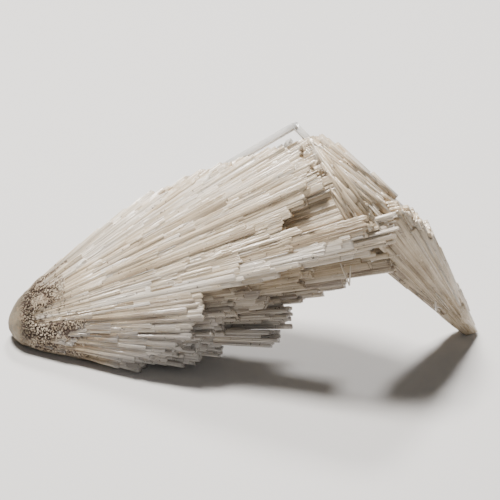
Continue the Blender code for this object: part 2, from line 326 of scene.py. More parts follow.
def add_bundle(needles, sheaf, solid, chance, tone, turns_clear):
    """Fills one of the solid's needles with fine ones, which end at slightly different lengths."""
    rise, face, end_step, rows, twist, slant = solid
    twist *= FLUSH
    start = sheaf.at(rise, face, FIRST_STEP + (chance.uniform(*ROOT_STEPS) if sheaf is SPRAY else 0.0))
    end = sheaf.at(rise, face, end_step)
    axis, up, side = bundle_frame(sheaf, start, end, twist)
    near = needle_size(sheaf, rise, FIRST_STEP, rows)
    far = needle_size(sheaf, rise, end_step, rows)
    many = [max(1, round(size / chance.uniform(*PITCH))) for size in far]
    length = (end - start).length
    ragged = 1.0 if sheaf is SPRAY else SMOOTH_ENDS
    for i in range(many[0]):
        for j in range(many[1]):
            a = (i + 0.5 + chance.uniform(-PLACE_JITTER, PLACE_JITTER)) / many[0] - 0.5
            b = (j + 0.5 + chance.uniform(-PLACE_JITTER, PLACE_JITTER)) / many[1] - 0.5
            last = 1.0 - chance.choice(SHORTER) * chance.random() * ragged
            foot = start + up * (a * near[0]) + side * (b * near[1])
            size = [near[k] + (far[k] - near[k]) * last for k in (0, 1)]
            tip = start + axis * (length * last + slant * a * size[0])
            tip += up * (a * size[0])
            tip += side * (b * size[1])
            grow = chance.uniform(*GROW)
            needles.add(
                foot, tip, up, side, [near[k] / many[k] * grow for k in (0, 1)],
                [size[k] / many[k] * grow for k in (0, 1)], tone + chance.uniform(-TONE_JITTER, TONE_JITTER),
                turns_clear,
                (slant + chance.uniform(-END_SLANT, END_SLANT), chance.uniform(-END_SLANT, END_SLANT)),
            )


# Needles that grew later, on top of the others. Lifts are shares of the sheaf's half depth.
NEAR_END = 0.98  # of the way to their layer's outline
SUNK = 0.02  # how much lower they start than they end
NEEDLE_TURN, LATH_TURN = 12.0, 4.0  # degrees, either way
TERRACE_LIFT = 0.17
TERRACE_NEEDLES = (1, 6)
TERRACE_BACK = (1.5, 0.8)  # a power and a share, for set_back
TERRACE_FIRST = 3.0
TERRACE_TONES = (-0.15, 0.25)
PAST_EDGE = 1.1  # the rise past which a sheaf has no needles
# The needles of one terrace: spacing and depth as shares of their width, and how they differ.
ABREAST = 0.9
DEPTHS = (0.4, 0.9)
TAPER = (0.6, 0.4)  # width and depth at the start, as shares of those at the end
START_STEPS, END_STEPS = (0.0, 3.0), (-0.6, 0.6)
TONES = (-0.1, 0.1)
SLANTS = (-0.4, 0.4)
PLATE_LIFT = 0.13
PLATE_BACK = (1.2, 0.75)
PLATE_FIRST = 2.0
PLATE_LENGTHS = (8.0, 34.0)
PLATE_HALF_WIDTHS = (0.02, 0.05)  # as shares of the sheaf's half height
PLATE_DEPTHS = (0.9, 1.5)
PLATE_TONES = (-0.1, 0.2)
PLATE_SLANTS = ((-0.15, 0.15), (-0.2, 0.2))
THIN_HALF_WIDTHS = (0.1, 0.2)  # mm
THIN_TONE = 0.35


def set_back(chance, power, share):
    """How far out a needle ends: most near the full length, and some well short of it."""
    return 1.0 - chance.random() ** power * share


def add_overgrowth(needles, sheaf, chance, count, layer, rises, lengths, sizes, tone_and_shading_of):
    """Terraces of fine needles that grew later over a layer of a sheaf, each starting part of the way out.

    The needles of one terrace lie side by side and end nearly together.
    """
    for _ in range(count):
        middle = chance.uniform(*rises)
        face = layer * section_width(middle) + math.copysign(TERRACE_LIFT, layer)
        last = sheaf.end_of(middle, layer) * set_back(chance, *TERRACE_BACK) * NEAR_END
        first = max(last - chance.uniform(*lengths), TERRACE_FIRST)
        width = chance.uniform(*sizes)
        tone = tone_and_shading_of(middle, layer) + chance.uniform(*TERRACE_TONES)
        beside = chance.randint(*TERRACE_NEEDLES)
        for k in range(beside):
            rise = middle + (k - beside / 2.0) * width * ABREAST / sheaf.half_sizes(last)[0]
            if abs(rise) > PAST_EDGE:
                continue
            start = sheaf.at(rise, face - SUNK, first + chance.uniform(*START_STEPS))
            end = sheaf.at(rise, face, min(last + chance.uniform(*END_STEPS), sheaf.end_of(rise, layer)))
            _, up, side = bundle_frame(sheaf, start, end, small_turn(chance, NEEDLE_TURN))
            deep = width * chance.uniform(*DEPTHS)
            needles.add(
                start, end, up, side, (width * TAPER[0], deep * TAPER[1]), (width, deep),
                tone + chance.uniform(*TONES), clear_from(sheaf, rise),
                (chance.uniform(*SLANTS), chance.uniform(*SLANTS)),
            )


def add_plates(needles, sheaf, chance, count, layer, rises, tone_and_shading_of):
    """Wide flat laths, flush with the needles round them, in turn with thin white needles.

    The laths end in straight steps.
    """
    for k in range(count):
        thin = k % 2 == 1
        rise = chance.uniform(*rises)
        face = layer * section_width(rise) + math.copysign(PLATE_LIFT, layer)
        last = sheaf.end_of(rise, layer) * set_back(chance, *PLATE_BACK) * NEAR_END
        first = max(last - chance.uniform(*PLATE_LENGTHS), PLATE_FIRST)
        far, near = sheaf.half_sizes(last)[0], sheaf.half_sizes(first)[0]
        width = chance.uniform(*THIN_HALF_WIDTHS) if thin else chance.uniform(*PLATE_HALF_WIDTHS) * far
        start, end = sheaf.at(rise, face - SUNK, first), sheaf.at(rise, face, last)
        _, up, side = bundle_frame(sheaf, start, end, small_turn(chance, LATH_TURN))
        deep = chance.uniform(*PLATE_DEPTHS)
        needles.add(
            start, end, up, side, (2.0 * width * (near / far), deep * 0.5), (2.0 * width, deep),
            tone_and_shading_of(rise, layer) + (THIN_TONE if thin else chance.uniform(*PLATE_TONES)),
            clear_from(sheaf, rise), tuple(chance.uniform(*reach) for reach in PLATE_SLANTS),
        )


# Tones run from 0, stained, to 1, white. Along a sheaf's rise they are (middle, slope).
# The slopes are painted light and shade: needles are lighter on a sheaf's upper side and darker on its lower
# side, as light falls from above.
SPRAY_TONE_AND_SHADING = (0.45, 0.42)
BLADE_TONE_AND_SHADING = (0.45, 0.4)
RIDGE_TONE_AND_SHADING = (0.7, 0.1)
# The hollow's deeper needles are tan darkened with painted shade; the top is white with painted light, the
# band white with a painted highlight.
HOLLOW_TAN_AND_SHADE, BAND_WHITE_AND_HIGHLIGHT, TOP_WHITE_AND_LIGHT = 0.45, 0.95, 0.8
HOLLOW_RISES = (-0.1, 0.5)
HOLLOW_FACE = 0.5
BAND = (-0.2, -0.08)
TOP = 0.62
# Below this rise the spray's needles turn clear: at this share of their length, and the higher ones later.
CLEAR_BELOW = -0.25
CLEAR_SHARE, CLEAR_LATER, CLEAR_LOWEST = 0.72, 0.5, -0.75


def spray_tone_and_shading(rise, face):
    """How white the spray's needles are: tan in the hollow, cream over the face, white along its bands, with
    painted light and shade.
    """
    if face < HOLLOW_FACE and HOLLOW_RISES[0] < rise < HOLLOW_RISES[1]:
        return HOLLOW_TAN_AND_SHADE
    if BAND[0] < rise < BAND[1]:
        return BAND_WHITE_AND_HIGHLIGHT
    if rise > TOP:
        return TOP_WHITE_AND_LIGHT
    return tone_with_painted_shading(*SPRAY_TONE_AND_SHADING)(rise, face)


# Lighter upwards and darker downwards along the rise: painted light and shade.
def tone_with_painted_shading(middle, slope):
    return lambda rise, face: middle + slope * rise


def clear_from(sheaf, rise):
    """The share of its length where a needle turns clear: only the spray's low ones do."""
    if sheaf is SPRAY and rise < CLEAR_BELOW:
        return CLEAR_SHARE + CLEAR_LATER * max(rise - CLEAR_LOWEST, 0.0)
    return ALL_MILKY


# Where the spray's needles meet the inner edge of the ridge: (rise, step).
RIDGE_EDGE_OUTLINE = ((-0.12, 84.0), (0.06, 80.0), (0.22, 75.0), (0.39, 71.0), (0.57, 68.5))
HOLLOW_TOP, HOLLOW_DEEPER = 0.86, 0.7  # face of the top needles, and how much lower others can lie
HOLLOW_START = 30.0
HOLLOW_PAST = (-0.5, 2.5)  # how far past the ridge's edge they can end
HOLLOW_BEND = 0.012
BAND_RISES = (-0.17, -0.03)
BAND_FACES = (0.45, 0.86)
BAND_START = 40.0
BAND_ENDS = (82.0, 89.0)
LATH_RISES = (0.0, 0.57)
LATH_FACES = (0.86, 0.93)
LATH_SUNK = 0.01
LATH_STARTS = (30.0, 58.0)
LATH_PAST = (-0.8, 0.4)
LATH_DEPTHS = (0.6, 0.8)  # mm, at the start and at the end
# Up to this rise the laths lie deeper, by a share of the half depth, and start further out.
RECESS_TOP = 0.2
RECESS = (0.06, 12.0)
SEAM_STARTS, SEAM_LENGTHS = (0.0, 0.75), (0.2, 0.9)  # shares of the ridge's edge
SEAM_ASIDE = (-4.5, 6.0)  # to the left and right of it, less towards SEAM_TOP
SEAM_TOP = 1.05
SEAM_FACES = (0.84, 0.95)
SEAM_SINKS = 0.07  # a step to the right
SEAM_TURN = 6.0
SEAM_DEPTH = 0.8
# Widths in millimetres, tones, and width at the narrow end as a share.
KINDS = {
    # The hollow's tones are tan, partly darkened as painted shade of the recess.
    "hollow": ((0.3, 1.1), (0.2, 0.7), 0.7),
    # The band's tones are white, partly brightened as a painted highlight.
    "band": ((0.3, 0.9), (0.7, 1.0), 0.6),
    "lath": ((0.9, 2.2), (0.3, 0.65), 0.7),
    "thin": ((0.25, 0.4), (0.8, 1.0), 0.7),
    "seam": ((0.5, 1.5), (0.4, 0.75), 0.8),
    "thin seam": ((0.2, 0.35), (0.8, 1.0), 0.8),
}


def drawn(chance, kind):
    """Width, narrow width and tone of a needle of this kind."""
    widths, tones, share = KINDS[kind]
    width = chance.uniform(*widths)
    return width, width * share, chance.uniform(*tones)


def add_hollow_needles(needles, chance, count):
    """Long thin needles that cross the hollow and run into the ridge, at all depths."""
    for _ in range(count):
        rise = chance.uniform(*HOLLOW_RISES)
        face = HOLLOW_TOP * (1.0 - HOLLOW_DEEPER * chance.random() ** 2) * section_width(rise)
        last = read_outline(RIDGE_EDGE_OUTLINE, rise) + chance.uniform(*HOLLOW_PAST) * (1.0 - 0.5 * face)
        start = SPRAY.at(rise, face, HOLLOW_START)
        end = SPRAY.at(rise + chance.uniform(-HOLLOW_BEND, HOLLOW_BEND), face, last)
        _, up, side = bundle_frame(SPRAY, start, end, small_turn(chance, NEEDLE_TURN))
        width, narrow, tone = drawn(chance, "hollow")
        needles.add(start, end, up, side, (narrow, narrow), (width, width), tone)


def add_band(needles, chance, count):
    """The bright band of long white needles, partly brightened as a painted highlight, which runs out to the
    blade.
    """
    for _ in range(count):
        rise = chance.uniform(*BAND_RISES)
        face = chance.uniform(*BAND_FACES)
        start, end = SPRAY.at(rise, face, BAND_START), SPRAY.at(rise, face, chance.uniform(*BAND_ENDS))
        _, up, side = bundle_frame(SPRAY, start, end, small_turn(chance, NEEDLE_TURN))
        width, narrow, tone = drawn(chance, "band")
        needles.add(start, end, up, side, (narrow, narrow), (width, width), tone)


def add_hollow_laths(needles, chance, count):
    """Flat laths over the hollow, which end at the ridge, in turn with thin pale needles."""
    for k in range(count):
        rise = chance.uniform(*LATH_RISES)
        deeper, later = RECESS if rise < RECESS_TOP else (0.0, 0.0)
        face = (chance.uniform(*LATH_FACES) - deeper) * section_width(rise)
        last = read_outline(RIDGE_EDGE_OUTLINE, rise) + chance.uniform(*LATH_PAST)
        first = chance.uniform(*LATH_STARTS) + later
        start, end = SPRAY.at(rise, face - LATH_SUNK, first), SPRAY.at(rise, face, last)
        _, up, side = bundle_frame(SPRAY, start, end, small_turn(chance, LATH_TURN))
        width, narrow, tone = drawn(chance, "thin" if k % 2 == 1 else "lath")
        needles.add(start, end, up, side, (narrow, LATH_DEPTHS[0]), (width, LATH_DEPTHS[1]), tone)


def add_seam(needles, chance, count):
    """Needles along the inner edge of the ridge, over the ends of the spray's needles."""
    low, high = RIDGE_EDGE_OUTLINE[0][0], RIDGE_EDGE_OUTLINE[-1][0]
    for k in range(count):
        first = chance.uniform(*SEAM_STARTS)
        last = min(first + chance.uniform(*SEAM_LENGTHS), 1.0)
        aside = chance.uniform(*SEAM_ASIDE)
        face = chance.uniform(*SEAM_FACES) - SEAM_SINKS * max(aside, 0.0)
        ends = []
        for share in (first, last):
            rise = low + (high - low) * share
            step = read_outline(RIDGE_EDGE_OUTLINE, rise) + aside * (SEAM_TOP - share)
            ends.append(SPRAY.at(rise, face * section_width(rise), step))
        _, up, side = bundle_frame(RIDGE, *ends, small_turn(chance, SEAM_TURN))
        width, narrow, tone = drawn(chance, "thin seam" if k % 2 == 1 else "seam")
        needles.add(*ends, up, side, (width, SEAM_DEPTH), (narrow, SEAM_DEPTH), tone)


# Hair-thin needles across the others: start and end as (rise, face, step) in the spray, and width.
STRAY_NEEDLES = (
    ((0.093, 0.55, 74.1), (0.046, 0.42, 79.8), 0.3), ((0.175, 0.6, 75.5), (0.136, 0.6, 74.4), 0.25),
    ((-0.343, 0.2, 77.6), (-0.213, 0.25, 75.5), 0.25), ((-0.343, 0.2, 77.6), (-0.237, 0.25, 77.9), 0.28),
    ((0.176, 0.65, 71.5), (0.192, 0.55, 73.3), 0.22), ((0.045, 0.5, 77.2), (0.083, 0.4, 79.4), 0.22),
)
STRAY_TWIST, STRAY_TONE = 0.6, 0.95
# Needles that stand out along the ridge's outer edge: rise, face, and the steps where each starts and ends.
RIDGE_EDGE = (
    (1.5, 0.0, 6.5, 13.5), (1.42, -0.3, 5.5, 11.0), (1.25, 0.15, 8.0, 17.6), (1.2, -0.35, 7.0, 16.0),
    (1.27, -0.1, 14.0, 24.2), (1.22, 0.35, 12.0, 21.5), (1.12, 0.1, 16.0, 26.6), (1.1, 0.5, 15.0, 25.4),
    (1.02, 0.0, 18.0, 28.3), (1.0, 0.45, 16.0, 28.0),
)
EDGE_WIDTHS, EDGE_DEPTHS = (0.9, 1.4), (1.6, 1.8)
EDGE_TONES = (0.6, 0.9)
EDGE_TWIST, EDGE_SLANT = 0.1, (-0.2, 0.2)
# The comb: its first rise and how far it reaches, and how much sooner its last ribs end.
COMB_RIBS = 11
COMB_RISES, COMB_JITTER = (-1.12, 0.55), 0.2
COMB_FACES = (0.1, 0.6)
COMB_STEPS, COMB_SHORTER = (18.0, 30.8), 4.8
COMB_SIZES = ((0.3, 1.0), (0.4, 1.2))
COMB_TONES = (0.1, 0.6)
# Splinters on the blade: start and end as (rise, face, step), and width.
FRAGMENT = (
    ((-0.92, 0.95, 9.6), (-0.5, 1.12, 11.8), 0.8), ((-0.75, 1.0, 10.6), (-0.55, 1.1, 9.4), 0.6),
    ((0.1, 1.03, 16.0), (0.35, 1.06, 15.2), 0.45), ((-0.3, 1.04, 22.0), (0.05, 1.06, 22.8), 0.4),
)
FRAGMENT_TWIST = 0.5
FRAGMENT_SIZES = ((1.0, 0.6), (0.7, 0.5))  # at the start and at the end, as shares of its width


def add_stray_needles(needles):
    """Hair-thin needles that stand across the others, near the hollow and under the bright band."""
    for start, end, width in STRAY_NEEDLES:
        start, end = SPRAY.at(*start), SPRAY.at(*end)
        _, up, side = bundle_frame(SPRAY, start, end, STRAY_TWIST)
        needles.add(start, end, up, side, (width, width), (width, width), STRAY_TONE)


def add_ridge_edge(needles, chance):
    for rise, face, first, last in RIDGE_EDGE:
        start, end = RIDGE.at(rise, face, first), RIDGE.at(rise, face, last)
        _, up, side = bundle_frame(RIDGE, start, end, EDGE_TWIST)
        width, tone = chance.uniform(*EDGE_WIDTHS), chance.uniform(*EDGE_TONES)
        near, far = ((width, depth) for depth in EDGE_DEPTHS)
        needles.add(start, end, up, side, near, far, tone, ALL_MILKY, EDGE_SLANT)


def add_comb(needles, chance):
    """The blade's lowest needles, which stand like a comb in the gap under the bright band."""
    for k in range(COMB_RIBS):
        jitter = chance.uniform(-COMB_JITTER, COMB_JITTER)
        rise = COMB_RISES[0] + COMB_RISES[1] * (k + jitter) / COMB_RIBS
        face = chance.uniform(*COMB_FACES)
        last = COMB_STEPS[1] - COMB_SHORTER * k / COMB_RIBS
        start, end = BLADE.at(rise, face, COMB_STEPS[0]), BLADE.at(rise, face, last)
        _, up, side = bundle_frame(BLADE, start, end, 0.0)
        needles.add(start, end, up, side, *COMB_SIZES, chance.uniform(*COMB_TONES))


def add_fragment(needles):
    """Splinters that lie across the blade."""
    for start, end, width in FRAGMENT:
        start, end = BLADE.at(*start), BLADE.at(*end)
        _, up, side = bundle_frame(BLADE, start, end, FRAGMENT_TWIST)
        near, far = ((width * across, width * deep) for across, deep in FRAGMENT_SIZES)
        needles.add(start, end, up, side, near, far, 1.0)


# Closed lofts: the mass inside a sheaf, the knob and the crust of the root, and small pointed crystals.

BODY_AROUND = 48
BODY_STATIONS = (0.0, 0.25, 0.5, 0.75, 1.0)


def loft(name, rings, material, tone, pits=None, grain=None):
    """A closed skin over rings of points in millimetres, which all have the same number of points."""
    around = len(rings[0])
    corners = np.array([tuple(point) for ring in rings for point in ring])
    last = (len(rings) - 1) * around
    ends = tuple(range(around))[::-1], tuple(range(last, last + around))
    faces = [ends[0], *side_quads(len(rings), around), ends[1]]
    mesh = bpy.data.meshes.new(name)
    mesh.from_pydata(np.clip((corners - np.array(MIDDLE)) * MM, *np.array(cad_box)), [], faces)
    add_attribute(mesh, "grain", "FLOAT_VECTOR", corners if grain is None else np.array(grain))
    add_attribute(mesh, "tone", "FLOAT", np.broadcast_to(np.array(tone, dtype=float), len(corners)))
    add_attribute(mesh, "clarity", "FLOAT", np.zeros(len(corners)))
    add_attribute(mesh, "pit", "FLOAT", np.zeros(len(corners)) if pits is None else np.array(pits))
    return place(name, mesh, material)


def body(name, sheaf, share, ends, material, tone):
    """The mass inside a sheaf, which stops short of its needles' ends."""
    rings, grain = [], []
    for along in BODY_STATIONS:
        rings.append([])
        for i in range(BODY_AROUND):
            angle = 2.0 * math.pi * i / BODY_AROUND
            rise, face = share * math.sin(angle), share * math.cos(angle)
            step = FIRST_STEP + sheaf.end_of(rise, face) * ends * along
            high, deep = sheaf.half_sizes(step)
            rings[-1].append(sheaf.at(rise, face, step))
            grain.append((rise * high, face * deep, step))
    return loft(name, rings, material, tone, grain=grain)


# The root, where the spray sat on the rock: a smooth worn knob, and a pitted crust that thins out over the
# needles and leaves some of them bare.
ROOT_MIDDLE = Vector((-51.3, -0.3, 4.0))
ROOT_RADII = Vector((3.75, 4.2, 4.2))
KNOB_ACROSS, KNOB_AROUND = 70, 140
CRUST_ALONG, CRUST_AROUND = 210, 280
CRUST_START = -2.1  # where its rounded end is, and how far the rounding reaches
CRUST_ROUNDING = 4.0
CRUST_STEPS = 20.0
CRUST_OUT = 0.08  # how far out the crust lies over the needles, as a share of the section
PIT_DEEP = 0.4  # mm
BARE_RISES = (-0.33, 0.14)
BARE_FROM, BARE_LOSS = 2.5, 0.25  # from this step the crust thins out there, by so much a step
# The crust's height below and above the middle: the most, that at the root, loss a step, and last full step.
CRUST_BELOW = (0.95, 1.45, 0.05, 16.0)
CRUST_ABOVE = (0.85, 1.25, 0.07, 11.0)
RUN_OUT = 0.5  # how much it loses a step past the last full one
# The pits: the scale of each kind's noise, in noise per millimetre, and how far it reaches.
BEND_SCALE, WORM_SCALE, WORM_REACH = 0.9, 2.7, 0.2
HOLE_SCALE, HOLE_REACH = 3.4, 0.15
PATCH_SCALE, PATCH_EDGE = 0.35, 2.5
WORM_STRETCH = 0.55  # of x, so that the winding pits run along the object
# The cavity in the front of the crust, dark with painted shade as it is only PIT_DEEP deep: rise and step,
# half length and half width in millimetres.
CAVITY = (-0.62, 14.6)
CAVITY_SIZE = (2.3, 0.8)


def pit_depth(point, strength):
    """How deep the winding and the round pits are at this point, from 0 to 1."""
    long_way = Vector((point.x * WORM_STRETCH, point.y, point.z))
    bent = long_way + Vector((0.5, 0.5, 0.5)) * noise.noise(long_way * BEND_SCALE)
    worm = 1.0 - abs(noise.noise(bent * WORM_SCALE)) / WORM_REACH
    hole = (noise.noise(bent * HOLE_SCALE + Vector((7.0, 3.0, 1.0))) - HOLE_REACH) / HOLE_REACH
    patch = noise.noise(point * PATCH_SCALE + Vector((2.0, 9.0, 4.0))) + strength
    return min(max(worm, hole, 0.0), 1.0) * min(max(patch * PATCH_EDGE, strength - 0.25, 0.0), 1.0)


def root_knob(material):
    rings, pits = [], []
    for i in range(KNOB_ACROSS + 1):
        polar = math.pi * (i + 0.02) / (KNOB_ACROSS + 0.04)
        rings.append([])
        for j in range(KNOB_AROUND):
            angle = 2.0 * math.pi * j / KNOB_AROUND
            sideways = math.sin(polar)
            out = Vector((-math.cos(polar), sideways * math.cos(angle), sideways * math.sin(angle)))
            point = ROOT_MIDDLE + Vector(a * b for a, b in zip(out, ROOT_RADII))
            pit = pit_depth(point, 0.5 * (i / KNOB_ACROSS) - 0.25)
            worn = 0.35 * noise.noise(point * 0.5) + 0.08 * noise.noise(point * 2.0)
            point += out * (worn - PIT_DEEP * pit)
            rings[-1].append(point)
            pits.append(pit)
    return loft("root_knob", rings, material, 0.0, pits)


def crust_height(rise, step):
    """How far the crust stands proud of the needles: below 0 it is hidden, and they lie bare."""
    bare = 0.0
    if BARE_RISES[0] < rise < BARE_RISES[1]:
        bare = BARE_LOSS * max(step - BARE_FROM, 0.0)
    most, near, loss, last = CRUST_BELOW if rise < 0.0 else CRUST_ABOVE
    return min(most, near - loss * step) - RUN_OUT * max(step - last, 0.0) - bare


def root_crust(material):
    rings, pits, tones = [], [], []
    for i in range(CRUST_ALONG + 1):
        step = CRUST_START + (CRUST_STEPS - CRUST_START) * (i + 0.05) / CRUST_ALONG
        left = 1.0 - min((step - CRUST_START) / CRUST_ROUNDING, 1.0)
        rounding = math.sqrt(1.0 - left * left)
        rings.append([])
        for j in range(CRUST_AROUND):
            angle = 2.0 * math.pi * j / CRUST_AROUND
            rise, face = math.sin(angle), math.cos(angle)
            size = (abs(rise) ** ROUNDNESS + abs(face) ** ROUNDNESS) ** (-1.0 / ROUNDNESS) * rounding
            size *= 1.0 + CRUST_OUT * min(max(step, 0.0) / 4.0, 1.0)
            point = SPRAY.at(rise * size, face * size, step)
            outward = (SPRAY.rise * rise + SPRAY.face * face).normalized()
            pit = pit_depth(point, 0.58 if rise < 0.0 else 0.56) * min(max((step - 0.5) / 2.0, 0.0), 1.0)
            # The cavity: its darkness is painted shade, as it is only PIT_DEEP deep.
            if face > 0.0:
                high = SPRAY.half_sizes(step)[0]
                along = (step - CAVITY[1]) / CAVITY_SIZE[0]
                aside = (rise * size - CAVITY[0]) * high / CAVITY_SIZE[1]
                pit = max(pit, min(1.6 - math.hypot(along, aside), 1.0))
            proud = crust_height(rise, step)
            proud += 0.35 * noise.noise(point * 0.3)
            proud += 0.12 * noise.noise(point * 1.3)
            rings[-1].append(point + outward * (proud * rounding - PIT_DEEP * pit))
            pits.append(pit)
            tones.append(min(max((step - 1.5) / 4.0 + 0.5 * noise.noise(point * 0.5), 0.0), 1.0))
    return loft("root_crust", rings, material, tones, pits)


# The window at the crest: two clear bars and two small pointed crystals, as the solid has them.
WINDOW_FOOT = Vector((-9.5, 4.5, 39.8))
WINDOW_CORNER = Vector((12.0, 0.8, 56.2))
WINDOW_END = Vector((16.5, -0.7, 51.8))
WINDOW_BAR = 1.5
WINDOW_TONE = 0.9
CRYSTAL_LEAN = Vector((0.35, -0.1, 1.0))
# Rings of a small crystal, from point to point: place along its half length, and share of its radius.
CRYSTAL_RINGS = ((-1.0, 0.05), (-0.45, 1.0), (0.35, 1.0), (1.0, 0.05))
# Middle, radius and half length.
WINDOW_CRYSTALS = ((Vector((8.6, 2.2, 49.3)), 0.85, 1.5), (Vector((10.5, 2.4, 50.5)), 1.05, 1.7))


def window_bars(material):
    bars = Needles()
    past = (WINDOW_CORNER - WINDOW_FOOT).normalized() * (WINDOW_BAR / 2.0)
    for start, end in ((WINDOW_FOOT, WINDOW_CORNER + past), (WINDOW_CORNER, WINDOW_END)):
        _, up, side = bundle_frame(SPRAY, start, end, 0.0)
        bars.add(start, end, up, side, (WINDOW_BAR, WINDOW_BAR), (WINDOW_BAR, WINDOW_BAR), WINDOW_TONE)
    return bars.object("window_bars", material)


def window_crystals(material):
    for k, (middle, radius, half_length) in enumerate(WINDOW_CRYSTALS):
        lean = CRYSTAL_LEAN.normalized() * half_length
        rings = []
        for along, share in CRYSTAL_RINGS:
            ring = []
            for i in range(6):
                angle = math.pi * (i / 3.0 + 0.2 + k * 0.25)
                out = Vector((math.cos(angle), math.sin(angle), 0.0))
                ring.append(middle + lean * along + out * radius * share)
            rings.append(ring)
        loft(f"window_crystal_{k + 1}", rings, material, WINDOW_TONE)


# The blade's tip, where its needles have grown into one glassy mass: its height and depth at both ends.
TIP_STEPS = (0.6, 9.0)
TIP_SIZES = ((3.3, 4.0), (6.2, 5.6))
TIP_TONE = 0.62


def blade_tip(material):
    tip = Needles()
    start, end = (BLADE.at(0.0, 0.0, step) for step in TIP_STEPS)
    _, up, side = bundle_frame(BLADE, start, end, 0.0)
    tip.add(start, end, up, side, *TIP_SIZES, TIP_TONE)
    return tip.object("blade_tip", material)


# Materials

class Nodes:
    """Short calls for making a material's nodes."""

    def __init__(self, name):
        self.material = bpy.data.materials.new(name)
        self.material.use_nodes = True
        self.tree = self.material.node_tree
        self.shader = self.tree.nodes["Principled BSDF"]

    def link(self, value, socket):
        if isinstance(value, (int, float, tuple)):
            socket.default_value = value
        else:
            self.tree.links.new(value, socket)

    def give(self, key, value):
        self.link(value, self.shader.inputs[key])

    def make(self, kind, values):
        """A new node, with a value or a link for each of these inputs."""
        node = self.tree.nodes.new("ShaderNode" + kind)
        for key, value in values.items():
            self.link(value, node.inputs[key])
        return node

    def attribute(self, name, output):
        node = self.make("Attribute", {})
        node.attribute_name = name
        return node.outputs[output]

    def stretched(self, vector, scale):
        return self.make("Mapping", {"Scale": scale, "Vector": vector}).outputs["Vector"]

    def noise(self, vector, scale, detail=2.0, roughness=0.5):
        values = {"Scale": scale, "Detail": detail, "Roughness": roughness, "Vector": vector}
        return self.make("TexNoise", values).outputs["Fac"]

    def math(self, operation, a, b, clamp=False):
        node = self.make("Math", {0: a, 1: b})
        node.operation = operation
        node.use_clamp = clamp
        return node.outputs[0]

    def remap(self, value, low, high, to_low=0.0, to_high=1.0):
        values = {"From Min": low, "From Max": high, "To Min": to_low, "To Max": to_high, "Value": value}
        return self.make("MapRange", values).outputs["Result"]

    def ramp(self, value, stops):
        node = self.make("ValToRGB", {"Fac": value})
        elements = node.color_ramp.elements
        while len(elements) < len(stops):
            elements.new(0.5)
        for element, (position, colour) in zip(elements, stops):
            element.position = position
            element.color = (*colour, 1.0)
        return node.outputs["Color"]

    def mix(self, share, a, b):
        node = self.make("Mix", {})
        node.data_type = "RGBA"
        self.link(share, node.inputs["Factor"])
        for key, colour in (("A", a), ("B", b)):
            self.link((*colour, 1.0) if isinstance(colour, tuple) else colour, node.inputs[key])
        return node.outputs["Result"]

    def bump(self, height, strength, distance):
        node = self.make("Bump", {"Strength": strength, "Distance": distance, "Height": height})
        self.give("Normal", node.outputs["Normal"])

    def distance(self, a, b):
        node = self.make("VectorMath", {0: a, 1: b})
        node.operation = "DISTANCE"
        return node.outputs["Value"]

    def position(self):
        return self.tree.nodes.new("ShaderNodeTexCoord").outputs["Object"]


STAINED = (0.30, 0.21, 0.13)
BEIGE = (0.55, 0.43, 0.29)
CREAM = (0.87, 0.71, 0.51)
FROSTED = (0.94, 0.85, 0.73)
SPECK = (0.09, 0.06, 0.045)
CLEAR_TIP = (0.93, 0.90, 0.86)
WATER_CLEAR = (0.97, 0.97, 0.96)
FAINT_FROST = (0.88, 0.88, 0.87)
SCOLECITE_IOR = 1.51
COAT, COAT_ROUGHNESS = 0.6, 0.12
# How far the noise is stretched along a needle: scales across, across and along it, in noise per millimetre.
STREAKS = (2.4, 2.4, 0.06)
# White flecks across the grain are painted glints: small highlights painted into the colour.
PAINTED_GLINTS = (2.5, 2.5, 0.9)
STAIN_LINES = (3.0, 3.0, 0.05)
RIBS = (2.4, 2.4, 0.04)
FROST = (5.0, 5.0, 0.4)
# Scales of the noise that runs through the whole object, in noise per metre.
CLOUDS, SPECKS, GRAINS, PATCHES = 110.0, 900.0, 1400.0, 300.0
RIND = (0.13, 0.105, 0.07)
PALE_RIND = (0.27, 0.225, 0.155)
DULL_CRUST = (0.36, 0.28, 0.19)
PALE_CRUST = (0.66, 0.57, 0.44)
ROOT_PLACE = tuple((SPRAY.root - MIDDLE) * MM)


